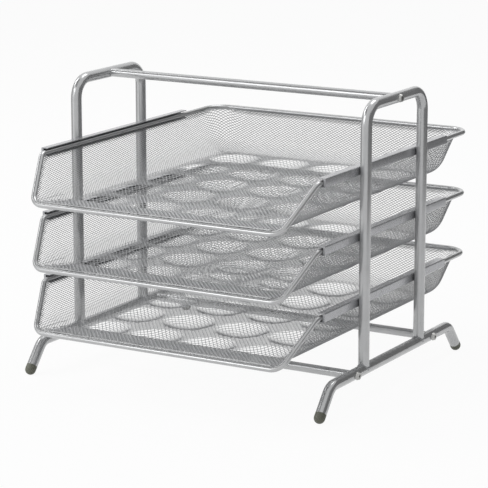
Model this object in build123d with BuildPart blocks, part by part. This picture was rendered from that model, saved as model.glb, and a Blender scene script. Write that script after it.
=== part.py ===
"""Letter rack: two bent-tube side frames that carry three mesh trays on channel rails.

X runs across the rack, +Y to its back and +Z up. The origin is on the floor, under the middle of the
whole rack. All sizes are in millimetres.
"""

import math
import os

from build123d import *

# Side frames: the arch and the foot are the same tube
TUBE_OD = 10.0
TUBE_WALL = 1.2
FRAME_SPACING = 302.4      # between the middles of the two side frames
UPRIGHT_SPACING = 110.6
ARCH_BEND_RADIUS = 18.0
FOOT_TUBE_Z = 27.8         # height of the foot tube's level run
FOOT_OVERHANG = 41.1       # from a low crossbar to the foot's bend
FOOT_BEND_RADIUS = 15.0
FOOT_LEG_ANGLE = 50.0      # down from level

# Foot caps
CAP_FLAT = 0.4             # worn off the dome where it stands
CAP_COLLAR = 4.0           # straight part between the tube's end and the dome
CAP_PLUG_LENGTH = 9.0
CAP_PLUG_CLEARANCE = 0.05

# Crossbars, their inserts and screws
BAR_OD = 8.0
BAR_WALL = 1.0
LOW_BAR_OFFSET = 21.2      # from an upright to the low crossbar outside it
INSERT_LENGTH = 14.0
INSERT_CLEARANCE = 0.05
SCREW_D = 4.0
SCREW_REACH = 9.0          # thread inside the insert
SCREW_HEAD_D = 7.6
SCREW_HEAD_HEIGHT = 2.2
SCREW_SOCKET = 2.5         # across flats
SCREW_SOCKET_DEPTH = 1.3
SCREW_HOLE_CLEARANCE = 0.2
THREAD_CLEARANCE = 0.05

# Rails
RAIL_SHEET = 0.8
RAIL_FLANGE = 7.0
RAIL_LENGTH = 239.8
RAIL_BEND = 1.0            # outer radius of the channel's two folds

# Heights of the trays, from rim to rim
BOTTOM_RIM_RISE = 60.0     # from the foot tube to the bottom rim
TRAY_PITCH = 59.0
TOP_HEADROOM = 57.4        # from the top rim to the arch's top run

# Tray rim
RIM_WIRE = 4.8
RIM_RUN = 306.5            # from the front bend to the back
RIM_STOP_LEAD = 6.0        # front bend ahead of the rails
FRONT_REACH = 37.5         # front bar ahead of the front bend
FRONT_TUCK = 15.1          # front bar's corners in from the sides
RIM_BACK_RADIUS = 20.0
RIM_BEND_RADIUS = 9.0
RIM_FRONT_RADIUS = 13.0
RIM_SIDE_GAP = 1.5         # to the rail's web
RIM_SEAT_GAP = 0.25        # above the rail's lower flange
RIM_LIFT_GAP = 1.35        # below the rail's upper flange

# Tray basket
SHEET = 0.8
BASKET_DEPTH = 39.5        # from the rim's middle to the floor's upper face
BASKET_EDGE = 1.0          # sheet's top edge above the rim's middle
SIDE_LEAN = 27.0           # run of a side wall over that depth
BACK_LEAN = 8.0
BASKET_CORNER_RADIUS = 20.0
FOLD_SETBACK = 2.0         # floor's front fold behind the rim's front bend
APRON_RISE = 4.4           # from that fold up to the front bar
WELD_GAP = 0.1

# Round dishes pressed into the basket's floor
DISH_D = 50.0
DISH_DEPTH = 4.0
DISH_FLAT = 22.0           # across the flat at its bottom
DISH_SIDES = 10            # sides of the pressing
DISH_LAND = 6.0            # flat land left between neighbouring dishes
DISH_COLUMNS = 4
DISH_ROWS = 6
DISH_SIDE_MARGIN = 13.0    # flat strips kept along the floor's folds
DISH_END_MARGIN = 2.0

# Windows that open the basket's sheet, as its mesh does
WINDOW_BAR = 4.0           # sheet left between neighbouring windows
WINDOW_EDGE = 7.0          # sheet left along the folds, the rim and the front bar
WINDOW_ROWS = 2
SIDE_WINDOWS = 12
BACK_WINDOWS = 10
APRON_WINDOWS = 12
DISH_WINDOWS = 2           # each way, in a dish

# Places worked out from these sizes
FRAME_X = FRAME_SPACING / 2
TUBE_R = TUBE_OD / 2
BAR_R = BAR_OD / 2
RIM_R = RIM_WIRE / 2
BOTTOM_RIM_Z = FOOT_TUBE_Z + BOTTOM_RIM_RISE
RIM_Z = {
    "bottom": BOTTOM_RIM_Z,
    "middle": BOTTOM_RIM_Z + TRAY_PITCH,
    "top": BOTTOM_RIM_Z + 2 * TRAY_PITCH,
}
ARCH_TOP_Z = RIM_Z["top"] + TOP_HEADROOM

WEB_X = FRAME_X - TUBE_R
RIM_X = WEB_X - RAIL_SHEET - RIM_SIDE_GAP - RIM_R
RAIL_HEIGHT = 2 * RAIL_SHEET + RIM_SEAT_GAP + RIM_WIRE + RIM_LIFT_GAP
RAIL_RISE = (RIM_LIFT_GAP - RIM_SEAT_GAP) / 2    # channel's middle above the rim's middle

# Along Y the trays are centred on the origin, and the side frames stand where the rails suit the rims
BACK_Y = (RIM_RUN + FRONT_REACH) / 2
BEND_Y = BACK_Y - RIM_RUN
BAR_Y = BEND_Y - FRONT_REACH
FRAME_Y = BEND_Y + RIM_STOP_LEAD + RAIL_LENGTH / 2
UPRIGHT_Y = UPRIGHT_SPACING / 2
LOW_BAR_Y = UPRIGHT_Y + LOW_BAR_OFFSET
FOOT_BEND_Y = LOW_BAR_Y + FOOT_OVERHANG

CAP_Z = TUBE_R - CAP_FLAT
LEG_RUN = (FOOT_TUBE_Z - CAP_Z) / math.tan(math.radians(FOOT_LEG_ANGLE))
CAP_Y = FOOT_BEND_Y + LEG_RUN

# The basket's outer faces, at the rim's height and at the floor
RIM_REACH = RIM_R + WELD_GAP
SIDE_SLOPE = SIDE_LEAN / BASKET_DEPTH
BACK_SLOPE = BACK_LEAN / BASKET_DEPTH
WALL_X = RIM_X - RIM_REACH * math.hypot(1, SIDE_SLOPE)
WALL_Y = BACK_Y - RIM_REACH * math.hypot(1, BACK_SLOPE)
UNDERSIDE_Z = -BASKET_DEPTH - SHEET
FLOOR_X = WALL_X + UNDERSIDE_Z * SIDE_SLOPE
FLOOR_BACK_Y = WALL_Y + UNDERSIDE_Z * BACK_SLOPE
FLOOR_FOLD_Y = BEND_Y + FOLD_SETBACK

# The apron climbs from the floor's front fold and lies on the front bar
APRON_SLOPE = APRON_RISE / (FLOOR_FOLD_Y - BAR_Y)
FRONT_DROP = RIM_REACH * math.hypot(1, APRON_SLOPE) - UNDERSIDE_Z - APRON_RISE
BAR_END_X = RIM_X - FRONT_TUCK

# The floor's middle, its pressed field and the pitch of its dishes
FLOOR_MID_Y = (FLOOR_BACK_Y + FLOOR_FOLD_Y) / 2
FIELD_X = FLOOR_X - DISH_SIDE_MARGIN
FIELD_Y = (FLOOR_BACK_Y - FLOOR_FOLD_Y) / 2 - DISH_END_MARGIN
DISH_PITCH = DISH_D + DISH_LAND

SIDES = {"left": -1, "right": 1}
ENDS = {"front": -1, "rear": 1}

os.makedirs("parts", exist_ok=True)


def write(piece: Part, name: str):
    """Label a finished piece and write it as one STEP file."""
    piece.label = name
    export_step(piece, f"parts/{name}.step")


def bent_tube(path: Wire, outer: float, wall: float = 0) -> Part:
    """A tube or wire bent along a path.

    Args:
        path: straight runs joined by arcs.
        outer: the tube's outer diameter.
        wall: the tube's wall, or nothing for a solid wire.

    Returns:
        The bent tube as one solid.
    """
    with BuildPart() as tube:
        for stretch in path.order_edges():
            start, along = stretch @ 0, stretch % 0
            with BuildSketch(Plane(start, z_dir=along)):
                Circle(outer / 2)
                if wall:
                    Circle(outer / 2 - wall, mode=Mode.SUBTRACT)
            if stretch.geom_type == GeomType.LINE:
                extrude(amount=stretch.length)
            else:
                centre = stretch.arc_center
                turn = math.degrees(stretch.length / stretch.radius)
                revolve(axis=Axis(centre, (start - centre).cross(along)), revolution_arc=turn)
    return tube.part


# Side frames
for side, sign in SIDES.items():
    x = sign * FRAME_X

    # The arch is bent from one tube, its ends cut to sit on the foot tube, its top drilled for a screw
    with BuildLine() as arch_line:
        FilletPolyline(
            (x, FRAME_Y - UPRIGHT_Y, FOOT_TUBE_Z),
            (x, FRAME_Y - UPRIGHT_Y, ARCH_TOP_Z),
            (x, FRAME_Y + UPRIGHT_Y, ARCH_TOP_Z),
            (x, FRAME_Y + UPRIGHT_Y, FOOT_TUBE_Z),
            radius=ARCH_BEND_RADIUS,
        )
    arch_tube = bent_tube(arch_line.wire(), TUBE_OD, TUBE_WALL)
    with BuildPart() as arch:
        add(arch_tube)
        with Locations(Location((x, FRAME_Y, FOOT_TUBE_Z), (90, 0, 0))):
            Cylinder(TUBE_R, UPRIGHT_SPACING + 2 * TUBE_OD, mode=Mode.SUBTRACT)
        with Locations(Location((x, FRAME_Y, ARCH_TOP_Z), (0, 90, 0))):
            Cylinder(SCREW_D / 2 + SCREW_HOLE_CLEARANCE, 2 * TUBE_OD, mode=Mode.SUBTRACT)
    write(arch.part, f"{side}_arch_tube")

    # The foot tube runs level under the arch, with both ends bent down to the caps
    leg_cut = CAP_COLLAR * math.cos(math.radians(FOOT_LEG_ANGLE))
    leg_rise = CAP_COLLAR * math.sin(math.radians(FOOT_LEG_ANGLE))
    with BuildLine() as foot_line:
        FilletPolyline(
            (x, FRAME_Y - CAP_Y + leg_cut, CAP_Z + leg_rise),
            (x, FRAME_Y - FOOT_BEND_Y, FOOT_TUBE_Z),
            (x, FRAME_Y + FOOT_BEND_Y, FOOT_TUBE_Z),
            (x, FRAME_Y + CAP_Y - leg_cut, CAP_Z + leg_rise),
            radius=FOOT_BEND_RADIUS,
        )
    foot_tube = bent_tube(foot_line.wire(), TUBE_OD, TUBE_WALL)
    with BuildPart() as foot:
        add(foot_tube)
        for end in ENDS.values():
            with Locations(Location((x, FRAME_Y + end * LOW_BAR_Y, FOOT_TUBE_Z), (0, 90, 0))):
                Cylinder(SCREW_D / 2 + SCREW_HOLE_CLEARANCE, 2 * TUBE_OD, mode=Mode.SUBTRACT)
    write(foot.part, f"{side}_foot_tube")

    # The rails are folded channels that open towards the trays
    for level, rim_z in RIM_Z.items():
        rail_plane = Plane((0, FRAME_Y, rim_z + RAIL_RISE), x_dir=(sign, 0, 0), z_dir=(0, -sign, 0))
        with BuildPart() as rail:
            with BuildSketch(rail_plane) as rail_section:
                with Locations((WEB_X - RAIL_FLANGE / 2, 0)):
                    Rectangle(RAIL_FLANGE, RAIL_HEIGHT)
                fillet(rail_section.vertices().group_by(Axis.X)[-1], RAIL_BEND)
                with Locations((WEB_X - RAIL_SHEET - RAIL_FLANGE / 2, 0)):
                    Rectangle(RAIL_FLANGE, RAIL_HEIGHT - 2 * RAIL_SHEET, mode=Mode.SUBTRACT)
            extrude(amount=RAIL_LENGTH / 2, both=True)
        write(rail.part, f"{side}_{level}_rail")

# Foot caps: plug, collar and dome, with a small flat where each one stands
with BuildPart() as foot_caps:
    for sign in SIDES.values():
        for end in ENDS.values():
            down_leg = Vector(
                0,
                end * math.cos(math.radians(FOOT_LEG_ANGLE)),
                -math.sin(math.radians(FOOT_LEG_ANGLE)),
            )
            cap_plane = Plane((sign * FRAME_X, FRAME_Y + end * CAP_Y, CAP_Z), x_dir=(1, 0, 0), z_dir=down_leg)
            with BuildSketch(cap_plane.offset(-CAP_COLLAR)):
                Circle(TUBE_R)
            extrude(amount=CAP_COLLAR)
            with Locations(cap_plane):
                Sphere(TUBE_R)
            with BuildSketch(cap_plane.offset(-CAP_COLLAR)):
                Circle(TUBE_R - TUBE_WALL - CAP_PLUG_CLEARANCE)
            extrude(amount=-CAP_PLUG_LENGTH)
    split(bisect_by=Plane.XY, keep=Keep.TOP)
write(foot_caps.part, "foot_caps")

# Crossbars, with the places where their ends are screwed to the side frames
BARS = {
    "top_crossbar": (FRAME_Y, ARCH_TOP_Z),
    "front_crossbar": (FRAME_Y - LOW_BAR_Y, FOOT_TUBE_Z),
    "rear_crossbar": (FRAME_Y + LOW_BAR_Y, FOOT_TUBE_Z),
}
for name, (bar_y, bar_z) in BARS.items():
    with BuildPart() as crossbar:
        with BuildSketch(Plane((0, bar_y, bar_z), x_dir=(0, 1, 0), z_dir=(1, 0, 0))):
            Circle(BAR_R)
            Circle(BAR_R - BAR_WALL, mode=Mode.SUBTRACT)
        extrude(amount=FRAME_X, both=True)
        with Locations(*[Location((sign * FRAME_X, bar_y, bar_z), (90, 0, 0)) for sign in SIDES.values()]):
            Cylinder(TUBE_R, 2 * BAR_OD, mode=Mode.SUBTRACT)
    write(crossbar.part, name)

# Each end of a crossbar holds a threaded insert, and a screw goes through the frame tube into it
BAR_ENDS = [
    Plane((sign * WEB_X, bar_y, bar_z), x_dir=(0, 1, 0), z_dir=(sign, 0, 0))
    for bar_y, bar_z in BARS.values()
    for sign in SIDES.values()
]
with BuildPart() as inserts:
    for bar_end in BAR_ENDS:
        with BuildSketch(bar_end):
            Circle(BAR_R - BAR_WALL - INSERT_CLEARANCE)
            Circle(SCREW_D / 2 + THREAD_CLEARANCE, mode=Mode.SUBTRACT)
        extrude(amount=-INSERT_LENGTH)
write(inserts.part, "crossbar_inserts")

with BuildPart() as screws:
    for bar_end in BAR_ENDS:
        head_plane = bar_end.offset(TUBE_OD)
        with BuildSketch(head_plane):
            Circle(SCREW_HEAD_D / 2)
        extrude(amount=SCREW_HEAD_HEIGHT, taper=20)
        with BuildSketch(head_plane.offset(SCREW_HEAD_HEIGHT)):
            RegularPolygon(SCREW_SOCKET / 2, 6, major_radius=False)
        extrude(amount=-SCREW_SOCKET_DEPTH, mode=Mode.SUBTRACT)
        with BuildSketch(head_plane):
            Circle(SCREW_D / 2)
        extrude(amount=-(TUBE_OD + SCREW_REACH))
write(screws.part, "crossbar_screws")


def rim_loop(wire_radius: float) -> Part:
    """The rim's closed loop of wire, its level runs at Z zero.

    Args:
        wire_radius: half the wire's thickness.

    Returns:
        The loop as one solid.
    """
    with BuildLine() as half_loop:
        FilletPolyline(
            (0, BAR_Y, -FRONT_DROP),
            (BAR_END_X, BAR_Y, -FRONT_DROP),
            (RIM_X, BEND_Y, 0),
            (RIM_X, BACK_Y, 0),
            (0, BACK_Y, 0),
            radius=[RIM_FRONT_RADIUS, RIM_BEND_RADIUS, RIM_BACK_RADIUS],
        )
    half_rim = bent_tube(half_loop.wire(), 2 * wire_radius)
    with BuildPart() as loop:
        add(half_rim)
        mirror(about=Plane.YZ)
    return loop.part


def basket_volume(inset: float, front_top_y: float, top: float) -> Part:
    """The basket's outer form, or with an inset the space inside it.

    Args:
        inset: how far every wall and the floor lie inside the basket's outer faces.
        front_top_y: where the open front's edge meets the top, above the front bar or along the posts.
        top: height of the form's upper side above the rim's middle.

    Returns:
        The form as one solid, with the rim's level runs at Z zero.
    """
    side_x = WALL_X - inset * math.hypot(1, SIDE_SLOPE)
    back_y = WALL_Y - inset * math.hypot(1, BACK_SLOPE)
    floor_z = UNDERSIDE_Z + inset
    with BuildPart() as side_view:
        with BuildSketch(Plane.YZ):
            with BuildLine():
                Polyline(
                    (back_y + floor_z * BACK_SLOPE, floor_z),
                    (FLOOR_FOLD_Y, floor_z),
                    (BAR_Y, floor_z + APRON_RISE),
                    (front_top_y, top),
                    (back_y + top * BACK_SLOPE, top),
                    close=True,
                )
            make_face()
        extrude(amount=FRAME_X, both=True)

    # Behind the front bend the two side walls lean in evenly
    with BuildPart() as pan:
        add(side_view.part)
        with BuildSketch(Plane.XZ):
            with BuildLine():
                Polyline(
                    (-side_x - floor_z * SIDE_SLOPE, floor_z),
                    (side_x + floor_z * SIDE_SLOPE, floor_z),
                    (side_x + top * SIDE_SLOPE, top),
                    (-side_x - top * SIDE_SLOPE, top),
                    close=True,
                )
            make_face()
        extrude(amount=RIM_RUN, both=True, mode=Mode.INTERSECT)
        back_wall = pan.faces().sort_by(Axis.Y)[-1]
        fillet(back_wall.edges().filter_by(Axis.X, reverse=True), BASKET_CORNER_RADIUS - inset)

    # Ahead of it they spread, from the floor's front corners out to the rim's posts
    with BuildPart() as mouth:
        add(side_view.part)
        for sign in SIDES.values():
            bend = Vector(sign * WALL_X, BEND_Y, 0)
            corner = Vector(sign * FLOOR_X, FLOOR_FOLD_Y, UNDERSIDE_Z)
            bar_end = Vector(sign * (BAR_END_X - RIM_REACH), BAR_Y, -FRONT_DROP)
            inward = (corner - bend).cross(bar_end - bend) * sign
            split(bisect_by=Plane(bend, z_dir=inward).offset(inset), keep=Keep.TOP)

    with BuildPart() as volume:
        add(pan.part)
        add(mouth.part)
    return volume.part


def dish_field(mouth_z: float, grow: float) -> Part:
    """Rows of round dishes, cut off along the floor's folds.

    Args:
        mouth_z: height of the dishes' mouths, from the rim's middle.
        grow: how far the field reaches into the flat strips along the folds.

    Returns:
        The dishes' volumes, which narrow downwards and reach a little above their mouths.
    """
    lead = SHEET / 2
    upper = Plane.XY.offset(mouth_z + lead)
    mouth = DISH_D / 2 * math.cos(math.pi / DISH_SIDES)
    with BuildPart() as dish:
        with BuildSketch(upper):
            RegularPolygon(DISH_D / 2, DISH_SIDES)
        extrude(amount=-(lead + DISH_DEPTH))
        for side in range(DISH_SIDES):
            angle = 2 * math.pi * (side + 0.5) / DISH_SIDES
            out = Vector(math.cos(angle), math.sin(angle), 0)
            slope = Plane(
                out * mouth + Vector(0, 0, mouth_z),
                z_dir=out * DISH_DEPTH - Vector(0, 0, mouth - DISH_FLAT / 2),
            )
            split(bisect_by=slope, keep=Keep.BOTTOM)
    with BuildPart() as field:
        with Locations((0, FLOOR_MID_Y)):
            with GridLocations(DISH_PITCH, DISH_PITCH, DISH_COLUMNS, DISH_ROWS):
                add(dish.part)
        with BuildSketch(upper) as flat_floor:
            with Locations((0, FLOOR_MID_Y)):
                Rectangle(2 * (FIELD_X + grow), 2 * (FIELD_Y + grow))
            fillet(flat_floor.vertices().group_by(Axis.Y)[-1], BASKET_CORNER_RADIUS / 2 + grow)
        extrude(amount=-(lead + DISH_DEPTH), mode=Mode.INTERSECT)
    return field.part


def wall_windows(plane: Plane, length: float, height: float, columns: int) -> Part:
    """Cutters for rows of windows in a flat stretch of the sheet.

    Args:
        plane: on the sheet, at the middle of the stretch.
        length: of the stretch, along the plane's X.
        height: of the stretch, along the plane's Y.
        columns: number of windows along the stretch.

    Returns:
        The cutters, which reach through the sheet.
    """
    across = (length - 2 * WINDOW_EDGE + WINDOW_BAR) / columns
    up = (height - 2 * WINDOW_EDGE + WINDOW_BAR) / WINDOW_ROWS
    with BuildPart() as cutters:
        with BuildSketch(plane):
            with GridLocations(across, up, columns, WINDOW_ROWS):
                Rectangle(across - WINDOW_BAR, up - WINDOW_BAR)
        extrude(amount=2 * SHEET, both=True)
    return cutters.part


def floor_windows() -> Part:
    """Cutters for the floor's windows, in the dishes and on the land between four of them.

    Returns:
        The cutters, which reach through the sheet.
    """
    span = (DISH_D * math.cos(math.pi / DISH_SIDES) - 2 * WINDOW_BAR) / math.sqrt(2)
    across = (span + WINDOW_BAR) / DISH_WINDOWS
    land = DISH_PITCH * math.sqrt(2) - DISH_D - 2 * WINDOW_BAR
    with BuildPart() as cutters:
        with BuildSketch(Plane.XY.offset(UNDERSIDE_Z - DISH_DEPTH / 2)):
            with Locations((0, FLOOR_MID_Y)):
                with GridLocations(DISH_PITCH, DISH_PITCH, DISH_COLUMNS, DISH_ROWS):
                    with GridLocations(across, across, DISH_WINDOWS, DISH_WINDOWS):
                        Rectangle(across - WINDOW_BAR, across - WINDOW_BAR)
                Rectangle(2 * (FIELD_X - WINDOW_BAR), 2 * (FIELD_Y - WINDOW_BAR), mode=Mode.INTERSECT)
        extrude(amount=DISH_DEPTH / 2 + 2 * SHEET, both=True)
        with BuildSketch(Plane.XY.offset(UNDERSIDE_Z + SHEET / 2)):
            with Locations((0, FLOOR_MID_Y)):
                with GridLocations(DISH_PITCH, DISH_PITCH, DISH_COLUMNS - 1, DISH_ROWS - 1):
                    Rectangle(land, land, rotation=45)
        extrude(amount=SHEET, both=True)
    return cutters.part


# Trays: the same rim and basket on three levels
rim = rim_loop(RIM_R)
with BuildPart() as basket:
    add(basket_volume(0, front_top_y=BEND_Y, top=BASKET_EDGE))
    add(dish_field(UNDERSIDE_Z, grow=SHEET))
    add(basket_volume(SHEET, front_top_y=BAR_Y, top=BASKET_EDGE + SHEET), mode=Mode.SUBTRACT)
    add(dish_field(UNDERSIDE_Z + SHEET, grow=0), mode=Mode.SUBTRACT)
    add(rim_loop(RIM_R + WELD_GAP / 2), mode=Mode.SUBTRACT)

    # Windows in the floor, the apron, the back wall and the two side walls
    add(floor_windows(), mode=Mode.SUBTRACT)
    apron = Plane(
        (0, (FLOOR_FOLD_Y + BAR_Y) / 2, UNDERSIDE_Z + APRON_RISE / 2),
        x_dir=(1, 0, 0),
        z_dir=(0, APRON_SLOPE, 1),
    )
    add(wall_windows(apron, 2 * FLOOR_X, FLOOR_FOLD_Y - BAR_Y, APRON_WINDOWS), mode=Mode.SUBTRACT)
    back = Plane((0, (FLOOR_BACK_Y + WALL_Y) / 2, UNDERSIDE_Z / 2), x_dir=(1, 0, 0), z_dir=(0, 1, -BACK_SLOPE))
    back_run = 2 * (FLOOR_X - BASKET_CORNER_RADIUS)
    add(wall_windows(back, back_run, -UNDERSIDE_Z, BACK_WINDOWS), mode=Mode.SUBTRACT)
    side_end = FLOOR_BACK_Y - BASKET_CORNER_RADIUS
    for sign in SIDES.values():
        side_wall = Plane(
            (sign * (FLOOR_X + WALL_X) / 2, (FLOOR_FOLD_Y + side_end) / 2, UNDERSIDE_Z / 2),
            x_dir=(0, 1, 0),
            z_dir=(sign, 0, -SIDE_SLOPE),
        )
        side_rise = -UNDERSIDE_Z * math.hypot(1, SIDE_SLOPE)
        add(wall_windows(side_wall, side_end - FLOOR_FOLD_Y, side_rise, SIDE_WINDOWS), mode=Mode.SUBTRACT)

for level, rim_z in RIM_Z.items():
    with BuildPart() as tray_rim:
        with Locations((0, 0, rim_z)):
            add(rim)
    write(tray_rim.part, f"{level}_tray_rim")
    with BuildPart() as tray_basket:
        with Locations((0, 0, rim_z)):
            add(basket.part)
    write(tray_basket.part, f"{level}_tray_basket")
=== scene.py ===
"""Desktop letter rack: lacquered tube frame, rails and mesh trays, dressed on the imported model."""

import logging
import math
from dataclasses import dataclass, replace
from enum import Enum
from typing import ClassVar

import bmesh
import bpy
from mathutils import Matrix, Vector


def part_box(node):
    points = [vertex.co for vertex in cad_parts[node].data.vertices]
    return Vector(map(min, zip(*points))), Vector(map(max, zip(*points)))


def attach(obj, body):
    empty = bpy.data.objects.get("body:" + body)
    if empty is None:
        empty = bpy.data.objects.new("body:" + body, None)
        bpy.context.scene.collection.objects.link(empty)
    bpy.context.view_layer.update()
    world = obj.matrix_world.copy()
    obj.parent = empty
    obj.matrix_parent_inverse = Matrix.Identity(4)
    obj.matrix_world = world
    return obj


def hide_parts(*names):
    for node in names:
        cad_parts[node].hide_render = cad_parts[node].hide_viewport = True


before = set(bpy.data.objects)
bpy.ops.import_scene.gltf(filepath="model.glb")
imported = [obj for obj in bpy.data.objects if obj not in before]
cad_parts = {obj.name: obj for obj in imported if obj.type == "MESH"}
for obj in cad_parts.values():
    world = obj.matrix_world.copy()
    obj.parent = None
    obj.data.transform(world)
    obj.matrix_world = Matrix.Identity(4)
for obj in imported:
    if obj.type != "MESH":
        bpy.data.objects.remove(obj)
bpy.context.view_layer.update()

MM = 0.001
# Distance within which a point lies on a cut or a seam
SNAP = 0.001 * MM
# Distance within which two points are one
MERGE = 0.002 * MM
# Smallest share or slope that is divided by
LEAST_SHARE = 0.001
WHITE = (1.0, 1.0, 1.0, 1.0)
FRAME_BODY = "frame"
LOG = logging.getLogger("letter_rack")


class Level(Enum):
    """The three trays, from the desk upwards."""

    BOTTOM = "bottom"
    MIDDLE = "middle"
    TOP = "top"

    @property
    def body(self) -> str:
        """The tray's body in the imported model."""
        return f"{self.value}_tray"


class Side(Enum):
    """The two side frames, with the sign of their X."""

    LEFT = -1
    RIGHT = 1

    @property
    def word(self) -> str:
        """Lower-case name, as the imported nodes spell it."""
        return self.name.lower()


@dataclass(frozen=True)
class Speckle:
    """Shader node group shared by the finishes: fine grain and broad drift over a surface.

    The group puts out a colour, a roughness and a height, all of which change over the surface.
    """

    name: str = "speckled_finish"
    grain_detail: float = 2.0
    drift_detail: float = 3.0
    spread_low: float = 0.3
    spread_high: float = 0.7
    colour_inputs: ClassVar[tuple[str, ...]] = ("Light", "Dark")
    number_inputs: ClassVar[tuple[str, ...]] = (
        "Grain Scale", "Drift Scale", "Grain Share", "Smooth", "Rough")

    def group(self) -> bpy.types.ShaderNodeTree:
        """Build the node group, or find it if it is there.

        Returns:
            The shader node tree with its named sockets.
        """
        found = bpy.data.node_groups.get(self.name)
        if found:
            return found
        tree = bpy.data.node_groups.new(self.name, "ShaderNodeTree")
        face = tree.interface
        for label in self.colour_inputs:
            face.new_socket(label, in_out="INPUT", socket_type="NodeSocketColor")
        for label in self.number_inputs:
            face.new_socket(label, in_out="INPUT", socket_type="NodeSocketFloat")
        face.new_socket("Color", in_out="OUTPUT", socket_type="NodeSocketColor")
        for label in ("Roughness", "Height"):
            face.new_socket(label, in_out="OUTPUT", socket_type="NodeSocketFloat")
        nodes, links = tree.nodes, tree.links
        given, put = nodes.new("NodeGroupInput"), nodes.new("NodeGroupOutput")
        place = nodes.new("ShaderNodeTexCoord")
        grain, drift = nodes.new("ShaderNodeTexNoise"), nodes.new("ShaderNodeTexNoise")
        for noise, scale, detail in ((grain, "Grain Scale", self.grain_detail),
                                     (drift, "Drift Scale", self.drift_detail)):
            noise.inputs["Detail"].default_value = detail
            links.new(place.outputs["Object"], noise.inputs["Vector"])
            links.new(given.outputs[scale], noise.inputs["Scale"])
        blend = nodes.new("ShaderNodeMix")
        blend.data_type = "FLOAT"
        links.new(given.outputs["Grain Share"], blend.inputs["Factor"])
        links.new(drift.outputs["Fac"], blend.inputs["A"])
        links.new(grain.outputs["Fac"], blend.inputs["B"])
        spread = nodes.new("ShaderNodeMapRange")
        spread.interpolation_type = "SMOOTHSTEP"
        spread.inputs["From Min"].default_value = self.spread_low
        spread.inputs["From Max"].default_value = self.spread_high
        links.new(blend.outputs["Result"], spread.inputs["Value"])
        tint = nodes.new("ShaderNodeMix")
        tint.data_type = "RGBA"
        links.new(spread.outputs["Result"], tint.inputs["Factor"])
        links.new(given.outputs["Dark"], tint.inputs["A"])
        links.new(given.outputs["Light"], tint.inputs["B"])
        gloss = nodes.new("ShaderNodeMapRange")
        links.new(spread.outputs["Result"], gloss.inputs["Value"])
        links.new(given.outputs["Rough"], gloss.inputs["To Min"])
        links.new(given.outputs["Smooth"], gloss.inputs["To Max"])
        links.new(tint.outputs["Result"], put.inputs["Color"])
        links.new(gloss.outputs["Result"], put.inputs["Roughness"])
        links.new(grain.outputs["Fac"], put.inputs["Height"])
        return tree


@dataclass(frozen=True)
class Finish:
    """One procedural finish, made from the speckle group and a Principled shader."""

    name: str
    light: tuple[float, float, float]
    dark: tuple[float, float, float]
    metallic: float
    smooth: float
    rough: float
    grain_scale: float
    drift_scale: float
    grain_share: float
    bump: float
    bump_depth: float
    coat: float = 0.0
    coat_rough: float = 0.2
    specular: float = 0.5

    def material(self) -> bpy.types.Material:
        """Build the material once and hand out the same one afterwards.

        Returns:
            The material that carries this finish.
        """
        found = bpy.data.materials.get(self.name)
        if found:
            return found
        made = bpy.data.materials.new(self.name)
        made.use_nodes = True
        nodes, links = made.node_tree.nodes, made.node_tree.links
        shader = nodes["Principled BSDF"]
        shader.inputs["Metallic"].default_value = self.metallic
        shader.inputs["Coat Weight"].default_value = self.coat
        shader.inputs["Coat Roughness"].default_value = self.coat_rough
        shader.inputs["Specular IOR Level"].default_value = self.specular
        speckle = nodes.new("ShaderNodeGroup")
        speckle.node_tree = Speckle().group()
        values = {
            "Light": (*self.light, 1.0), "Dark": (*self.dark, 1.0),
            "Grain Scale": self.grain_scale, "Drift Scale": self.drift_scale,
            "Grain Share": self.grain_share, "Smooth": self.smooth, "Rough": self.rough,
        }
        for label, value in values.items():
            speckle.inputs[label].default_value = value
        bump = nodes.new("ShaderNodeBump")
        bump.inputs["Strength"].default_value = self.bump
        bump.inputs["Distance"].default_value = self.bump_depth
        links.new(speckle.outputs["Height"], bump.inputs["Height"])
        links.new(speckle.outputs["Color"], shader.inputs["Base Color"])
        links.new(speckle.outputs["Roughness"], shader.inputs["Roughness"])
        links.new(bump.outputs["Normal"], shader.inputs["Normal"])
        made.diffuse_color = (*self.light, 1.0)
        return made


TUBE_LACQUER = Finish(
    "silver_tube_lacquer", light=(0.54, 0.545, 0.55), dark=(0.47, 0.475, 0.48), metallic=0.6,
    smooth=0.17, rough=0.25, grain_scale=2600.0, drift_scale=45.0, grain_share=0.5,
    bump=0.06, bump_depth=0.05 * MM, coat=0.1, specular=0.4)
RAIL_LACQUER = replace(
    TUBE_LACQUER, name="silver_rail_lacquer", light=(0.48, 0.485, 0.50), dark=(0.40, 0.405, 0.42),
    smooth=0.22, rough=0.30, coat=0.05)
RIM_LACQUER = replace(
    TUBE_LACQUER, name="silver_wire_lacquer", light=(0.55, 0.555, 0.56), dark=(0.48, 0.485, 0.49),
    drift_scale=60.0)
MESH_LACQUER = Finish(
    "silver_mesh_lacquer", light=(0.55, 0.555, 0.565), dark=(0.45, 0.455, 0.465), metallic=0.45,
    smooth=0.34, rough=0.46, grain_scale=900.0, drift_scale=30.0, grain_share=0.4,
    bump=0.10, bump_depth=0.05 * MM)
# Wall and hem mesh: the floor mesh's silver lacquer, darkened as painted shade on the upright walls.
WALL_PAINTED_SHADE_LACQUER = replace(
    MESH_LACQUER, name="silver_wall_lacquer", light=(0.40, 0.405, 0.415), dark=(0.33, 0.335, 0.345))
CAP_PLASTIC = Finish(
    "grey_cap_plastic", light=(0.175, 0.18, 0.145), dark=(0.135, 0.14, 0.11), metallic=0.0,
    smooth=0.50, rough=0.62, grain_scale=1800.0, drift_scale=120.0, grain_share=0.6,
    bump=0.25, bump_depth=0.10 * MM)
SCREW_ZINC = Finish(
    "bright_screw_zinc", light=(0.50, 0.50, 0.49), dark=(0.40, 0.40, 0.39), metallic=0.8,
    smooth=0.32, rough=0.44, grain_scale=1500.0, drift_scale=300.0, grain_share=0.5,
    bump=0.05, bump_depth=0.03 * MM)
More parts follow.
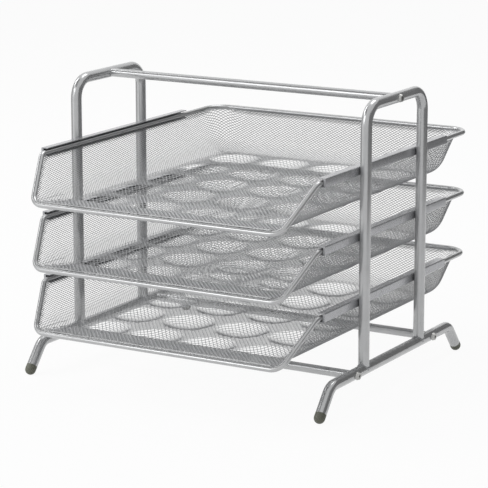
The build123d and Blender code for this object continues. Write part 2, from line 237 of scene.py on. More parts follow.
WELD_LACQUER = Finish(
    "lacquered_weld_bead", light=(0.42, 0.43, 0.44), dark=(0.32, 0.33, 0.34), metallic=0.3,
    smooth=0.38, rough=0.52, grain_scale=900.0, drift_scale=200.0, grain_share=0.6,
    bump=0.4, bump_depth=0.25 * MM)


def link_mesh(name: str, bm: bmesh.types.BMesh, material: bpy.types.Material) -> bpy.types.Object:
    """Turn a bmesh into an object of the scene.

    Args:
        name: Name of the object and of its mesh.
        bm: The mesh, in metres in the row frame. It is freed.
        material: Material that the object wears.

    Returns:
        The new object.
    """
    mesh = bpy.data.meshes.new(name)
    bm.to_mesh(mesh)
    bm.free()
    mesh.materials.append(material)
    made = bpy.data.objects.new(name, mesh)
    bpy.context.scene.collection.objects.link(made)
    return made


def shade_round(bm: bmesh.types.BMesh) -> None:
    """Shade every face of a mesh smooth."""
    for face in bm.faces:
        face.smooth = True


def round_edges(bm: bmesh.types.BMesh, edges: list[bmesh.types.BMEdge], width: float) -> None:
    """Round some edges of a mesh over a width."""
    bmesh.ops.bevel(bm, geom=edges, offset=width, affect="EDGES", segments=2, profile=0.5, material=-1)


def add_piece(name: str, bm: bmesh.types.BMesh, body: str, finish: Finish) -> bpy.types.Object:
    """Turn a bmesh into a shown piece that rides on a body.

    Args:
        name: Name of the piece.
        bm: The mesh, in metres in the row frame. It is freed.
        body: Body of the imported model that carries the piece.
        finish: Finish that the piece wears.

    Returns:
        The new object.
    """
    piece = link_mesh(name, bm, finish.material())
    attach(piece, body)
    LOG.info("piece %s: %d faces on %s", name, len(piece.data.polygons), body)
    return piece


@dataclass
class RoundedCopy:
    """Smooth-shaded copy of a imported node, which replaces the faceted one."""

    node: str
    name: str
    body: str
    slot: str
    finish: Finish
    merge: float = MERGE
    crease: float = math.radians(32)

    def build(self) -> bpy.types.Object:
        """Copy the node's mesh, merge it, and shade it round up to its creases.

        Returns:
            The piece that stands for the node.
        """
        bm = bmesh.new()
        bm.from_mesh(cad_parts[self.node].data)
        bmesh.ops.remove_doubles(bm, verts=bm.verts, dist=self.merge)
        bmesh.ops.dissolve_degenerate(bm, edges=bm.edges, dist=self.merge)
        shade_round(bm)
        for edge in bm.edges:
            edge.smooth = edge.is_manifold and edge.calc_face_angle(0.0) < self.crease
        piece = add_piece(self.name, bm, self.body, self.finish)
        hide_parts(self.node)
        return piece


@dataclass
class SideFrame:
    """One side of the rack: arch tube, foot tube, weld beads, and three channel rails with end tabs."""

    side: Side
    tube: float = 10 * MM
    rail_sheet: float = 0.8 * MM
    tab_width: float = 1.3 * MM
    tab_rounding: float = 0.15 * MM
    bead: float = 0.9 * MM
    bead_segments: int = 10
    bead_steps: int = 64

    def build(self) -> None:
        """Build every piece of this side."""
        for tube in ("arch_tube", "foot_tube"):
            self.lacquer(tube, TUBE_LACQUER)
        for level in Level:
            self.lacquer(f"{level.value}_rail", RAIL_LACQUER)
        self.build_tabs()
        self.build_welds()

    def lacquer(self, part: str, finish: Finish) -> None:
        """Put a rounded copy in a finish in place of one of this side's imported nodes."""
        node = f"{self.side.word}_{part}"
        RoundedCopy(node, f"{node}_lacquered", FRAME_BODY, "frame", finish).build()

    def build_tabs(self) -> None:
        """Turn a narrow tab in from each rail's web, at its front end."""
        bm = bmesh.new()
        for level in Level:
            low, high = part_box(f"{self.side.word}_{level.value}_rail")
            web = (high.x if self.side is Side.RIGHT else low.x) - self.side.value * self.rail_sheet
            inward = web - self.side.value * self.tab_width / 2
            tab = bmesh.ops.create_cube(bm, size=1.0)["verts"]
            bmesh.ops.scale(
                bm, verts=tab, vec=(self.tab_width, self.rail_sheet, high.z - low.z - 2 * self.rail_sheet))
            bmesh.ops.translate(
                bm, verts=tab, vec=(inward, low.y + self.rail_sheet / 2, (low.z + high.z) / 2))
        round_edges(bm, bm.edges[:], self.tab_rounding)
        add_piece(f"{self.side.word}_rail_end_tabs", bm, FRAME_BODY, RAIL_LACQUER)

    def build_welds(self) -> None:
        """Lay a fillet bead round each upright where its coped end sits on the foot tube."""
        low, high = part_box(f"{self.side.word}_arch_tube")
        _, foot_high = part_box(f"{self.side.word}_foot_tube")
        radius = self.tube / 2
        axis_x = (low.x + high.x) / 2
        axis_z = foot_high.z - radius
        for end, axis_y in (("front", low.y + radius), ("rear", high.y - radius)):
            bm = bmesh.new()
            ring = bmesh.ops.create_circle(bm, segments=self.bead_segments, radius=self.bead)["verts"]
            bmesh.ops.rotate(bm, verts=ring, matrix=Matrix.Rotation(math.pi / 2, 3, "X"))
            bmesh.ops.translate(bm, verts=ring, vec=(radius, 0, 0))
            bmesh.ops.spin(bm, geom=bm.verts[:] + bm.edges[:], axis=(0, 0, 1), angle=math.tau,
                           steps=self.bead_steps, use_merge=True)
            bmesh.ops.remove_doubles(bm, verts=bm.verts, dist=SNAP)
            for vert in bm.verts:
                across = min(abs(vert.co.x), radius) * (radius / max(vert.co.xy.length, radius))
                vert.co.z += math.sqrt(radius ** 2 - across ** 2)
            bmesh.ops.translate(bm, verts=bm.verts, vec=(axis_x, axis_y, axis_z))
            bmesh.ops.recalc_face_normals(bm, faces=bm.faces)
            shade_round(bm)
            add_piece(f"{self.side.word}_{end}_upright_weld", bm, FRAME_BODY, WELD_LACQUER)


@dataclass
class Crossties:
    """Top and low crossbars with their screws, inserts and the plastic foot caps."""

    bars: tuple[str, ...] = ("top_crossbar", "front_crossbar", "rear_crossbar")

    def build(self) -> None:
        """Build the bars, the fasteners and the caps."""
        for bar in self.bars:
            RoundedCopy(bar, f"{bar}_lacquered", FRAME_BODY, "frame", TUBE_LACQUER).build()
        RoundedCopy("crossbar_screws", "crossbar_screws_zinc", FRAME_BODY, "screw", SCREW_ZINC).build()
        RoundedCopy("crossbar_inserts", "crossbar_inserts_zinc", FRAME_BODY, "insert", SCREW_ZINC).build()
        RoundedCopy("foot_caps", "foot_caps_moulded", FRAME_BODY, "foot_cap", CAP_PLASTIC).build()


def roll(past: float, half: float) -> float:
    """Length that has turned up a fold, rounded over a band of twice the half width.

    Args:
        past: Distance past the fold line, negative before it.
        half: Half the width of the rounded band.

    Returns:
        The part of the distance that lies along the turned-up wall.
    """
    if past <= -half:
        return 0.0
    if past >= half:
        return past
    return (past + half) ** 2 / (4 * half)


def ease(value: float) -> float:
    """Smooth step of a value held between nought and one."""
    held = min(max(value, 0.0), 1.0)
    return held * held * (3 - 2 * held)


@dataclass
class TrayForm:
    """Form of one tray's mesh about the middle of its rim wire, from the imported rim's box.

    The floor and the front apron are one flat blank, measured across and along. The walls are a strip,
    measured round the floor from the middle of the back, and up from the fold. The strip starts on the
    floor's border.
    """

    wire: float = 4.8 * MM
    sink: float = 0.5 * MM
    depth: float = 39.9 * MM
    side_lean: float = 16.3 * MM
    back_lean: float = 15.3 * MM
    floor_corner: float = 20 * MM
    rim_corner: float = 18 * MM
    wall_corner: float = 36 * MM
    shelf_drop: float = 1.2 * MM
    mouth_reach: float = 37.5 * MM
    fold_setback: float = 2 * MM
    apron_rise: float = 4.1 * MM
    bar_tuck: float = 16.5 * MM
    side_roll: float = 17 * MM
    back_roll: float = 10 * MM
    seam: float = 10 * MM
    apron_roll: float = 3 * MM
    dish: float = 50 * MM
    dish_depth: float = 5.8 * MM
    dish_columns: int = 4
    dish_rows: int = 5
    column_pitch: float = 56 * MM
    row_pitch: float = 59 * MM
    first_row: float = 7.5 * MM
    dish_end_margin: float = 2 * MM
    dish_fade: float = 3 * MM
    least_wall: float = 0.02 * MM

    def __post_init__(self) -> None:
        """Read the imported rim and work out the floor, the wall lengths and the mouth."""
        low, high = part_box("top_tray_rim")
        inset = self.wire / 2 - self.sink
        self.rim_half = high.x - self.wire / 2 - inset
        self.rim_back = high.y - self.wire / 2 - inset
        self.bar_y = low.y + self.wire / 2
        self.post_y = self.bar_y + self.mouth_reach
        self.floor_half = self.rim_half - self.side_lean
        self.floor_back = self.rim_back - self.back_lean
        self.floor_front = self.post_y + self.fold_setback
        self.bar_half = high.x - self.wire / 2 - self.bar_tuck
        self.side_length = math.hypot(self.side_lean, self.depth)
        run = self.floor_front - self.bar_y
        self.apron_length = math.hypot(run, self.apron_rise)
        self.apron_slope = math.atan2(self.apron_rise, run)
        self.front_edge = self.floor_front - self.apron_length
        self.corner = Vector((self.floor_half - self.floor_corner, self.floor_back - self.floor_corner))
        self.rim_turn = Vector((self.rim_half - self.rim_corner, self.rim_back - self.rim_corner))
        self.wall_turn = Vector((self.rim_half - self.wall_corner, self.rim_back - self.wall_corner))
        self.corner_girth = (self.floor_corner + self.wall_corner) / 2
        self.corner_end = self.corner.x + self.corner_girth * math.pi / 2
        self.side_end = self.corner_end + self.corner.y - self.floor_front
        self.mouth_end = self.side_end + math.hypot(self.apron_length, self.bar_half - self.floor_half)
        self.mouth_length = self.mouth_end - self.side_end
        self.mouth_slant = Vector((self.side_length, self.mouth_length)).normalized()

    def sink_at(self, across: float, along: float) -> float:
        """Depth of the pressed round dishes at a place on the floor.

        Args:
            across: Distance from the middle plane, on the blank.
            along: Distance towards the back, on the blank.

        Returns:
            How far the place lies below the flat floor.
        """
        column = math.floor(across / self.column_pitch) + 0.5
        first = self.floor_front + self.first_row
        row = round((along - first) / self.row_pitch)
        if abs(column) > self.dish_columns / 2 or not 0 <= row < self.dish_rows:
            return 0.0
        beside, behind = across - column * self.column_pitch, along - first - row * self.row_pitch
        away = math.hypot(beside, behind) / (self.dish / 2)
        if away >= 1:
            return 0.0
        ends = along - self.floor_front - self.dish_end_margin
        sides = self.floor_half - self.side_roll - abs(across)
        return self.dish_depth * (1 - away ** 2) * ease(ends / self.dish_fade) * ease(sides / self.dish_fade)

    def apron_at(self, along: float) -> tuple[float, float, float]:
        """The floor's section along the middle plane, with the apron turned up in front.

        Args:
            along: Distance towards the back, on the blank.

        Returns:
            The place's Y and Z, and the share of the way along the apron to the front bar.
        """
        ahead = min(self.floor_front - along, self.apron_length)
        turned = roll(ahead, self.apron_roll)
        place_y = self.floor_front - (ahead - turned) - turned * math.cos(self.apron_slope)
        place_z = -self.depth + turned * math.sin(self.apron_slope)
        return place_y, place_z, min(max(ahead / self.apron_length, 0.0), 1.0)

    def half_at(self, share: float) -> float:
        """Half width of the floor or apron, at a share of the way along the apron."""
        return self.floor_half + (self.bar_half - self.floor_half) * share

    def turn_up(self, foot: Vector, out: Vector, top: Vector, past: float) -> Vector:
        """Turn a length of sheet up a rounded fold, broader at the sides than at the back.

        Args:
            foot: Place on the fold line.
            out: Level direction away from the floor.
            top: Upper edge of the wall above the foot.
            past: Length past the fold line, negative on the floor.

        Returns:
            The place of the folded sheet.
        """
        length = max((top - foot).length, self.least_wall)
        half = self.back_roll + (self.side_roll - self.back_roll) * abs(out.x)
        up = roll(past, min(half, length / 2))
        return foot + out * (past - up) + (top - foot) * (up / length)

    def rim_beyond(self, brow: Vector, out: Vector) -> Vector:
        """Place on the right half of the rim, level with it, straight out from a wall's brow.

        Args:
            brow: Upper edge of the wall.
            out: Level direction away from the floor.

        Returns:
            The place on the rim wire's inner side.
        """
        steps = [(edge - start) / way for edge, start, way in
                 ((self.rim_half, brow.x, out.x), (self.rim_back, brow.y, out.y)) if way > LEAST_SHARE]
        hit = brow.xy + out.xy * min(steps)
        if hit.x > self.rim_turn.x and hit.y > self.rim_turn.y:
            lead = brow.xy - self.rim_turn
            ahead = lead.dot(out.xy)
            step = math.sqrt(max(ahead ** 2 - lead.length_squared + self.rim_corner ** 2, 0.0)) - ahead
            hit = brow.xy + out.xy * step
        return hit.to_3d()

    def wall_line(self, around: float) -> tuple[Vector, Vector, Vector, Vector]:
        """Fold line, outward direction, brow and rim at a place round the walls.

        In the rear corners the wall turns wider than the rim, and a narrow shelf of mesh fills the gap.

        Args:
            around: Distance round the fold from the middle of the back, positive to the right.

        Returns:
            The foot, the outward direction, the brow and the rim.
        """
        sign = 1 if around >= 0 else -1
        reach = abs(around)
        low = -self.depth
        if reach <= self.corner.x:
            foot, out = Vector((reach, self.floor_back, low)), Vector((0, 1, 0))
            brow = Vector((reach * self.wall_turn.x / self.corner.x, self.rim_back, 0))
        elif reach <= self.corner_end:
            angle = (reach - self.corner.x) / self.corner_girth
            out = Vector((math.sin(angle), math.cos(angle), 0))
            foot = Vector((*self.corner, low)) + self.floor_corner * out
            brow = Vector((*self.wall_turn, 0)) + self.wall_corner * out
        elif reach <= self.side_end:
            share = (reach - self.corner_end) / (self.side_end - self.corner_end)
            out = Vector((1, 0, 0))
            foot = Vector((self.floor_half, self.corner.y + (self.floor_front - self.corner.y) * share, low))
            brow = Vector((self.rim_half, self.wall_turn.y + (self.post_y - self.wall_turn.y) * share, 0))
        else:
            ahead = min((reach - self.side_end) / self.mouth_length, 1.0)
            out = Vector((1, 0, 0))
            place_y, place_z, share = self.apron_at(self.floor_front - ahead * self.apron_length)
            foot = Vector((self.half_at(share), place_y, place_z))
            post = Vector((self.rim_half, self.post_y, 0))
            brow = post.lerp(Vector((self.bar_half, self.bar_y, self.apron_rise - self.depth)), ahead)
        rim = brow.copy()
        if self.corner.x < reach < self.corner_end:
            rim = self.rim_beyond(brow, out)
            brow.z -= self.shelf_drop * ease((rim.xy - brow.xy).length / self.shelf_drop)
        for place in (foot, out, brow, rim):
            place.x *= sign
        return foot, out, brow, rim

    def wall_place(self, around: float, height: float) -> Vector:
        """Place on a wall.

        Args:
            around: Distance round the fold from the middle of the back, positive to the right.
            height: Distance up the strip from the fold, negative on the floor's border.

        Returns:
            The place of the folded sheet.
        """
        foot, out, brow, rim = self.wall_line(around)
        rise, shelf = (brow - foot).length, (rim - brow).length
        ahead = max(abs(around) - self.side_end, 0) / self.mouth_length
        share = min(height / (self.side_length * max(1 - ahead, LEAST_SHARE)), 1.0)
        past = height if height < 0 else share * (rise + shelf)
        if past <= rise:
            return self.turn_up(foot, out, brow, past)
        return brow.lerp(rim, (past - rise) / shelf)

    def floor_place(self, across: float, along: float) -> Vector:
        """Place on the floor or apron, with its edges rolled towards the walls.

        Args:
            across: Distance from the middle plane, on the blank.
            along: Distance towards the back, on the blank.

        Returns:
            The place of the pressed and folded sheet.
        """
        wide = abs(across)
        place_y, place_z, share = self.apron_at(along)
        half = self.half_at(share)
        if wide > self.corner.x and along > self.corner.y:
            turn = Vector((wide, along)) - self.corner
            past = turn.length - self.floor_corner
            around = self.corner.x + self.corner_girth * math.atan2(turn.x, turn.y)
        elif along - self.floor_back > wide - half:
            past, around = along - self.floor_back, wide
        else:
            past = wide - half
            around = self.corner_end + self.corner.y - along
            if share > 0:
                around = self.side_end + share * self.mouth_length
        if past > -self.side_roll:
            foot, out, brow, _ = self.wall_line(around if across >= 0 else -around)
            return self.turn_up(foot, out, brow, min(past, 0.0))
        sunk = self.sink_at(across, along) if share == 0 else 0.0
        return Vector((across, place_y, place_z - sunk))


@dataclass(frozen=True)
class Cut:
    """One straight cut across a flat lattice."""

    point: Vector
    outward: Vector

    def score(self, bm: bmesh.types.BMesh, cells: list[bmesh.types.BMFace]) -> None:
        """Part some cells along the cut, and keep both sides.

        Args:
            bm: The flat lattice.
            cells: The cells that the cut may reach.
        """
        verts = {vert for face in cells for vert in face.verts}
        edges = {edge for face in cells for edge in face.edges}
        bmesh.ops.bisect_plane(bm, geom=[*verts, *edges, *cells], dist=SNAP,
                               plane_co=self.point, plane_no=self.outward)

    def trim(self, bm: bmesh.types.BMesh, ahead_of: float = math.inf, behind: float = -math.inf) -> None:
        """Cut the cells between two lines across the lattice, and drop what lies beyond the cut.

        Args:
            bm: The flat lattice.
            ahead_of: Only cells with a middle below this Y are cut.
            behind: Only cells with a middle above this Y are cut.
        """
        def chosen() -> list[bmesh.types.BMFace]:
            """Cells that the cut may reach."""
            return [face for face in bm.faces if behind < face.calc_center_median().y < ahead_of]

        self.score(bm, chosen())
        beyond = [face for face in chosen()
                  if (face.calc_center_median() - self.point).dot(self.outward) > 0]
        bmesh.ops.delete(bm, geom=beyond, context="FACES")


def box_cuts(low: Vector, high: Vector) -> list[Cut]:
    """The four cuts round a box."""
    sides = ((low, (-1, 0, 0)), (low, (0, -1, 0)), (high, (1, 0, 0)), (high, (0, 1, 0)))
    return [Cut(corner.to_3d(), Vector(outward)) for corner, outward in sides]


@dataclass(frozen=True)
class Cell:
    """Diamond cell of the mesh: its two diagonals, the strands round it, and how far they are turned.

    The twist moves a cell's lower and upper points apart along its normal, as slitting and stretching
    do in expanded sheet. Scraps with less than the least share of a cell's area stay closed.
    """

    wide: float
    high: float
    strand: float
    thickness: float
    twist: float = 0.0
    least_share: float = 0.2
    spare_cells: int = 4

    def lattice(self, low: Vector, high: Vector, shift: float = 0.0) -> bmesh.types.BMesh:
        """Flat lattice of diamonds that covers a box.

        Args:
            low: The box's low corner.
            high: The box's high corner.
            shift: Share of a cell by which the lattice is moved sideways.

        Returns:
            The cells, one face each, which reach past the box.
        """
        middle, half = (low + high) / 2, (high - low) / 2
        count = 2 * math.ceil(half.x / self.wide + half.y / self.high) + self.spare_cells
        bm = bmesh.new()
        bmesh.ops.create_grid(bm, x_segments=count, y_segments=count, size=0.5)
        bmesh.ops.rotate(bm, verts=bm.verts, matrix=Matrix.Rotation(math.pi / 4, 3, "Z"))
        reach = max(vert.co.x for vert in bm.verts)
        stretch = (count * self.wide / 2 / reach, count * self.high / 2 / reach, 1)
        bmesh.ops.scale(bm, verts=bm.verts, vec=stretch)
        bmesh.ops.translate(bm, verts=bm.verts, vec=(middle.x + shift * self.wide, middle.y, 0))
        return bm

    def weave(self, bm: bmesh.types.BMesh) -> None:
        """Open each cell, turn what is left of it by the twist, and round it into strands.

        Args:
            bm: The folded lattice, which becomes the strands.
        """
        bm.normal_update()
        least = self.least_share * self.wide * self.high / 2
        crests = {vert: Vector() if vert.is_boundary else vert.normal * self.thickness / 2
                  for vert in bm.verts}
        cells = [face for face in bm.faces if face.calc_area() > least]
        bmesh.ops.inset_individual(bm, faces=cells, thickness=self.strand / 2, use_even_offset=True)
        for face in cells:
            middle, out = face.calc_center_median(), face.normal.copy()
            for vert in face.verts:
                vert.co += out * self.twist * (middle.z - vert.co.z) / (self.high / 2)
        bmesh.ops.delete(bm, geom=cells, context="FACES_ONLY")
        copy = bmesh.ops.duplicate(bm, geom=bm.verts[:] + bm.edges[:] + bm.faces[:])
        under = [item for item in copy["geom"] if isinstance(item, bmesh.types.BMFace)]
        twins = copy["vert_map"]
        for vert, crest in crests.items():
            twins[vert].co -= crest
            vert.co += crest
        bmesh.ops.reverse_faces(bm, faces=under)
        bmesh.ops.remove_doubles(bm, verts=bm.verts, dist=MERGE)
        shade_round(bm)


@dataclass
class TrayMesh:
    """The mesh of a tray about its rim's middle height: floor with apron, walls, and the hem inside them."""

    form: TrayForm
    floor_cell: Cell = Cell(wide=4.1 * MM, high=5.4 * MM, strand=0.62 * MM, thickness=0.6 * MM)
    wall_cell: Cell = Cell(
        wide=4.1 * MM, high=2.6 * MM, strand=0.40 * MM, thickness=0.3 * MM, twist=-0.5 * MM)
    floor_merge: float = 0.4 * MM
    wall_merge: float = 0.35 * MM
    hem: float = 4.5 * MM
    hem_gap: float = 0.6 * MM
    hem_shift: float = 0.5
    chords: int = 7

    def floor(self) -> bmesh.types.BMesh:
        """Floor and apron, pressed and folded.

        Returns:
            The strands.
        """
        form, cell = self.form, self.floor_cell
        low = Vector((-form.bar_half, form.front_edge))
        high = Vector((form.bar_half, form.floor_back - form.seam))
        bm = cell.lattice(low, high)
        for cut in box_cuts(low, high):
            cut.trim(bm)
        Cut(Vector((0, form.floor_front, 0)), Vector((0, 1, 0))).score(bm, bm.faces[:])
        half, turn = form.floor_half - form.seam, form.floor_corner - form.seam
        splay = Vector((form.apron_length, form.bar_half - half)).normalized()
        arc = [turn * Vector((math.cos(angle), math.sin(angle)))
               for angle in (math.pi / 2 * step / self.chords for step in range(self.chords + 1))]
        for sign in (-1, 1):
            Cut(Vector((sign * half, 0, 0)), Vector((sign, 0, 0))).trim(bm, behind=form.floor_front)
            Cut(Vector((sign * half, form.floor_front, 0)),
                Vector((sign * splay.x, splay.y, 0))).trim(bm, ahead_of=form.floor_front)
            for start, end in zip(arc, arc[1:]):
                along = (end - start).normalized()
                point = form.corner + start
                Cut(Vector((sign * point.x, point.y, 0)),
                    Vector((sign * along.y, -along.x, 0))).trim(bm, behind=form.corner.y - turn)
        bmesh.ops.remove_doubles(bm, verts=bm.verts, dist=self.floor_merge)
        for vert in bm.verts:
            vert.co = form.floor_place(vert.co.x, vert.co.y)
        cell.weave(bm)
        return bm

    def wall_blank(self, shift: float) -> bmesh.types.BMesh:
        """Flat strip of the walls, with its ends cut to the flared mouth.

        Args:
            shift: Share of a cell by which the lattice is moved sideways.

        Returns:
            The flat cells.
        """
        form, cell = self.form, self.wall_cell
        low, high = Vector((-form.mouth_end, -form.seam)), Vector((form.mouth_end, form.side_length))
        bm = cell.lattice(low, high, shift)
        for cut in box_cuts(low, high):
            cut.trim(bm)
        ends = [face for face in bm.faces if max(abs(vert.co.x) for vert in face.verts) > form.side_end]
        Cut(Vector((0, 0, 0)), Vector((0, 1, 0))).score(bm, ends)
        slant = form.mouth_slant
        taper = Vector((form.seam, -form.mouth_length)).normalized()
        for sign in (-1, 1):
            end = Vector((sign * form.mouth_end, 0, 0))
            Cut(end, Vector((sign * slant.x, slant.y, 0))).trim(bm, behind=0.0)
            Cut(end, Vector((sign * taper.x, taper.y, 0))).trim(bm, ahead_of=0.0)
        bmesh.ops.remove_doubles(bm, verts=bm.verts, dist=self.wall_merge)
        return bm

    def stand_up(self, bm: bmesh.types.BMesh) -> None:
        """Stand the flat strip up round the floor.

        Args:
            bm: The flat cells, which are moved.
        """
        form = self.form
        for vert in bm.verts:
            vert.co = form.wall_place(vert.co.x, vert.co.y)
        bmesh.ops.reverse_faces(bm, faces=bm.faces)
        bm.normal_update()

    def walls(self) -> bmesh.types.BMesh:
        """Back, corners, sides and flared mouth as one strip.

        Returns:
            The strands.
        """
        bm = self.wall_blank(0.0)
        self.stand_up(bm)
        self.wall_cell.weave(bm)
        return bm

    def hem_band(self) -> bmesh.types.BMesh:
        """The turned-in edge: a second layer of mesh along the rim and the posts.

        Returns:
            The strands.
        """
        form = self.form
        bm = self.wall_blank(self.hem_shift)
        spare = []
        for face in bm.faces:
            centre = face.calc_center_median()
            to_post = (Vector((form.mouth_end, 0)) - Vector((abs(centre.x), centre.y))).dot(form.mouth_slant)
            if min(form.side_length - centre.y, to_post) > self.hem:
                spare.append(face)
        bmesh.ops.delete(bm, geom=spare, context="FACES")
        self.stand_up(bm)
        moves = [vert.normal * self.hem_gap for vert in bm.verts]
        for vert, move in zip(bm.verts, moves):
            vert.co += move
        self.wall_cell.weave(bm)
        return bm


@dataclass
class Tray:
    """One pull-out tray: rim wire, mesh sheet, turned-in hem and the strip along the front bar."""

    level: Level
    form: TrayForm
    strip_width: float = 4.2 * MM
    strip_thickness: float = 0.5 * MM
    strip_gap: float = 0.35 * MM
    strip_end: float = 8 * MM
    strip_rounding: float = 0.15 * MM
    strip_crease: float = 0.8
    strip_segments: int = 48

    def build(self, shapes: dict[str, bmesh.types.BMesh]) -> None:
        """Build the tray's pieces from the shared mesh.

        Args:
            shapes: The named shapes of the mesh about the rim's middle height.
        """
        word = self.level.value
        body = self.level.body
        _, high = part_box(f"{word}_tray_rim")
        up = Vector((0, 0, high.z - self.form.wire / 2))
        RoundedCopy(f"{word}_tray_rim", f"{word}_tray_rim_wire", body, "rim", RIM_LACQUER).build()
        for part, shape in shapes.items():
            # Walls and hem wear the mesh lacquer darkened as painted shade; the floor wears it plain.
            finish = MESH_LACQUER if part == "floor_mesh" else WALL_PAINTED_SHADE_LACQUER
            piece = self.place(f"{word}_tray_{part}", shape, body, up, finish)
            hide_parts(f"{word}_tray_basket")
        strip = self.front_strip()
        self.place(f"{word}_tray_front_strip", strip, body, up, RIM_LACQUER)
        strip.free()

    def place(self, name: str, shape: bmesh.types.BMesh, body: str, up: Vector,
              finish: Finish) -> bpy.types.Object:
        """Add a copy of a shape at this tray's height.

        Args:
            name: Name of the piece.
            shape: The mesh about the rim's middle height.
            body: Body that carries the piece.
            up: The rim's middle height.
            finish: Finish that the piece wears.

        Returns:
            The new object.
        """
        bm = shape.copy()
        bmesh.ops.translate(bm, verts=bm.verts, vec=up)
        return add_piece(name, bm, body, finish)

    def front_strip(self) -> bmesh.types.BMesh:
        """Flat binding strip on the apron, along the front bar.

        Returns:
            The strip about the rim's middle height.
        """
        form = self.form
        bm = bmesh.new()
        bmesh.ops.create_grid(bm, x_segments=self.strip_segments, y_segments=2, size=1.0)
        half = form.bar_half - self.strip_end
        for vert in bm.verts:
            along = form.front_edge + (vert.co.y + 1) / 2 * self.strip_width
            vert.co = form.floor_place(vert.co.x * half, along) + Vector((0, 0, self.strip_gap))
        bmesh.ops.solidify(bm, geom=bm.faces[:], thickness=-self.strip_thickness)
        bmesh.ops.recalc_face_normals(bm, faces=bm.faces)
        creases = [edge for edge in bm.edges if edge.calc_face_angle(0.0) > self.strip_crease]
        round_edges(bm, creases, self.strip_rounding)
        return bm


def bare_material(name: str) -> bpy.types.Material:
    """Make a material with an empty node tree.

    Args:
        name: Name of the material.

    Returns:
        The new material.
    """
    made = bpy.data.materials.new(name)
    made.use_nodes = True
    made.node_tree.nodes.clear()
    return made


def seen_rays(tree: bpy.types.NodeTree, share: float) -> bpy.types.NodeSocket:
    """Mask of the rays that see the white background.

    Args:
        tree: Node tree that gets the mask.
        share: Value of the mask for those rays.

    Returns:
        The socket that carries the mask.
    """
    nodes, links = tree.nodes, tree.links
    path = nodes.new("ShaderNodeLightPath")
    seen = path.outputs["Is Camera Ray"]
    for ray in ("Is Glossy Ray", "Is Transmission Ray"):
        either = nodes.new("ShaderNodeMath")
        either.operation = "MAXIMUM"
        links.new(seen, either.inputs[0])
        links.new(path.outputs[ray], either.inputs[1])
        seen = either.outputs["Value"]
    mask = nodes.new("ShaderNodeMath")
    mask.operation = "MULTIPLY"
    links.new(seen, mask.inputs[0])
    mask.inputs[1].default_value = share
    return mask.outputs["Value"]


@dataclass(frozen=True)
class Card:
    """A card near the rack for polished metal to reflect, seen by glossy rays only."""

    name: str
    glow: float
    segments: ClassVar[int] = 24

    def place(self, across: float, along: float) -> Vector:
        """Place of a point of the card, from its shares of the card's width and length."""
        raise NotImplementedError

    def build(self) -> None:
        """Put the card up."""
        bm = bmesh.new()
        bmesh.ops.create_grid(bm, x_segments=self.segments, y_segments=1, size=0.5)
        for vert in bm.verts:
            vert.co = self.place(vert.co.x + 0.5, vert.co.y + 0.5)
        made = bare_material(self.name)
        nodes, links = made.node_tree.nodes, made.node_tree.links
        put, light = nodes.new("ShaderNodeOutputMaterial"), nodes.new("ShaderNodeEmission")
        light.inputs["Color"].default_value = WHITE
        light.inputs["Strength"].default_value = self.glow
        links.new(light.outputs["Emission"], put.inputs["Surface"])
        card = link_mesh(self.name, bm, made)
        card.visible_camera = card.visible_diffuse = card.visible_shadow = card.visible_transmission = False


@dataclass(frozen=True)
class StandingCard(Card):
    """A card that stands on the floor and curves round the rack."""

    turn: tuple[float, float]
    height: float
    reach: float = 0.95

    def place(self, across: float, along: float) -> Vector:
        """Place of a point of the card.

        Args:
            across: Share of the card's width.
            along: Share of the card's height.

        Returns:
            The point on the curved card.
        """
        first, last = (math.radians(angle) for angle in self.turn)
        angle = first + across * (last - first)
        return Vector((self.reach * math.cos(angle), self.reach * math.sin(angle), along * self.height))


@dataclass(frozen=True)
class HangingCard(Card):
    """A card that hangs level above the rack."""

    low: tuple[float, float]
    high: tuple[float, float]
    height: float

    def place(self, across: float, along: float) -> Vector:
        """Place of a point of the card.

        Args:
            across: Share of the card's width.
            along: Share of the card's depth.

        Returns:
            The point on the level card.
        """
        x = self.low[0] + across * (self.high[0] - self.low[0])
        y = self.low[1] + along * (self.high[1] - self.low[1])
        return Vector((x, y, self.height))


@dataclass(frozen=True)
class Softbox:
    """A square lamp that faces the rack."""

    name: str
    place: tuple[float, float, float]
    size: float
    power: float

    def hang(self, target: Vector) -> None:
        """Hang the lamp.

        Args:
            target: Place that the lamp faces.
        """
        lamp = bpy.data.lights.new(self.name, "AREA")
        lamp.shape = "SQUARE"
        lamp.size = self.size
        lamp.energy = self.power
        hung = bpy.data.objects.new(self.name, lamp)
        hung.location = self.place
        aim = target - Vector(self.place)
        hung.rotation_euler = aim.to_track_quat("-Z", "Y").to_euler()
        bpy.context.scene.collection.objects.link(hung)


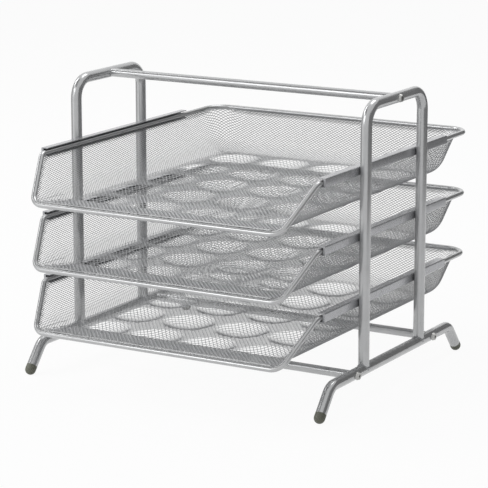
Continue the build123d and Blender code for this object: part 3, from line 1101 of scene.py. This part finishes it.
@dataclass
class Studio:
    """Plain white studio: floor, cards, soft lamps, world and the photograph's camera."""

    camera_place: tuple[float, float, float] = (1.04465, -1.81273, 0.58858)
    camera_pitch: float = -12.84
    camera_yaw: float = 30.15
    focal_pixels: float = 2301.0
    image_pixels: int = 488
    sensor: float = 36.0
    clip_start: float = 0.05
    floor_half: float = 9.0
    floor_white: float = 0.92
    ambient: float = 0.30
    shadow_share: float = 0.06
    lamp_target: tuple[float, float, float] = (0.0, 0.0, 0.12)
    cards: tuple[Card, ...] = (
        StandingCard("studio_flag", glow=0.15, turn=(-25.0, 85.0), height=0.8),
        StandingCard("studio_shade", glow=0.45, turn=(150.0, 208.0), height=0.8),
        StandingCard("studio_reflector", glow=1.3, turn=(-142.0, -122.0), height=0.6),
        HangingCard("studio_canopy", glow=0.1, low=(-1.0, -0.92), high=(-0.15, -0.09), height=1.1))
    lamps: tuple[Softbox, ...] = (
        Softbox("key_softbox", place=(-1.7, -0.3, 1.7), size=1.1, power=18.0),
        Softbox("front_softbox", place=(-1.25, -1.9, 1.25), size=1.4, power=15.0),
        Softbox("overhead_softbox", place=(0.0, 0.9, 2.2), size=1.1, power=11.0))

    def build(self) -> None:
        """Build the camera, the floor, the cards, the world and the lamps."""
        self.build_camera()
        self.build_floor()
        for card in self.cards:
            card.build()
        self.build_world()
        for lamp in self.lamps:
            lamp.hang(Vector(self.lamp_target))
        bpy.context.scene.view_settings.view_transform = "Standard"

    def build_camera(self) -> None:
        """Stand the camera where the photograph was taken from."""
        lens = bpy.data.cameras.new("photo_camera")
        lens.sensor_width = self.sensor
        lens.lens = self.focal_pixels / self.image_pixels * self.sensor
        lens.clip_start = self.clip_start
        camera = bpy.data.objects.new("photo_camera", lens)
        camera.location = self.camera_place
        camera.rotation_euler = (math.radians(90 + self.camera_pitch), 0.0, math.radians(self.camera_yaw))
        bpy.context.scene.collection.objects.link(camera)
        bpy.context.scene.camera = camera

    def build_floor(self) -> None:
        """Lay a white floor that keeps a soft share of the rack's shadow."""
        bm = bmesh.new()
        bmesh.ops.create_grid(bm, x_segments=2, y_segments=2, size=self.floor_half)
        made = bare_material("studio_floor_white")
        nodes, links = made.node_tree.nodes, made.node_tree.links
        put = nodes.new("ShaderNodeOutputMaterial")
        matt, glow = nodes.new("ShaderNodeBsdfDiffuse"), nodes.new("ShaderNodeEmission")
        matt.inputs["Color"].default_value = (self.floor_white, self.floor_white, self.floor_white, 1.0)
        glow.inputs["Color"].default_value = WHITE
        blend = nodes.new("ShaderNodeMixShader")
        links.new(seen_rays(made.node_tree, 1 - self.shadow_share), blend.inputs["Fac"])
        links.new(matt.outputs["BSDF"], blend.inputs[1])
        links.new(glow.outputs["Emission"], blend.inputs[2])
        links.new(blend.outputs["Shader"], put.inputs["Surface"])
        floor = link_mesh("studio_floor", bm, made)

    def build_world(self) -> None:
        """Even grey light from all round, with a white background behind."""
        world = bpy.data.worlds.new("studio_world")
        world.use_nodes = True
        bpy.context.scene.world = world
        nodes, links = world.node_tree.nodes, world.node_tree.links
        nodes.clear()
        put = nodes.new("ShaderNodeOutputWorld")
        soft, white = nodes.new("ShaderNodeBackground"), nodes.new("ShaderNodeBackground")
        soft.inputs["Color"].default_value = WHITE
        soft.inputs["Strength"].default_value = self.ambient
        white.inputs["Color"].default_value = WHITE
        blend = nodes.new("ShaderNodeMixShader")
        links.new(seen_rays(world.node_tree, 1.0), blend.inputs["Fac"])
        links.new(soft.outputs["Background"], blend.inputs[1])
        links.new(white.outputs["Background"], blend.inputs[2])
        links.new(blend.outputs["Shader"], put.inputs["Surface"])


def main() -> None:
    """Build the rack from its sub-assemblies, then the studio round it."""
    logging.basicConfig(level=logging.INFO, format="%(message)s")
    for side in Side:
        SideFrame(side).build()
    Crossties().build()
    form = TrayForm()
    mesh = TrayMesh(form)
    shapes = {"floor_mesh": mesh.floor(), "wall_mesh": mesh.walls(), "hem_mesh": mesh.hem_band()}
    for level in Level:
        Tray(level, form).build(shapes)
    for shape in shapes.values():
        shape.free()
    Studio().build()


if __name__ == "__main__":
    main()
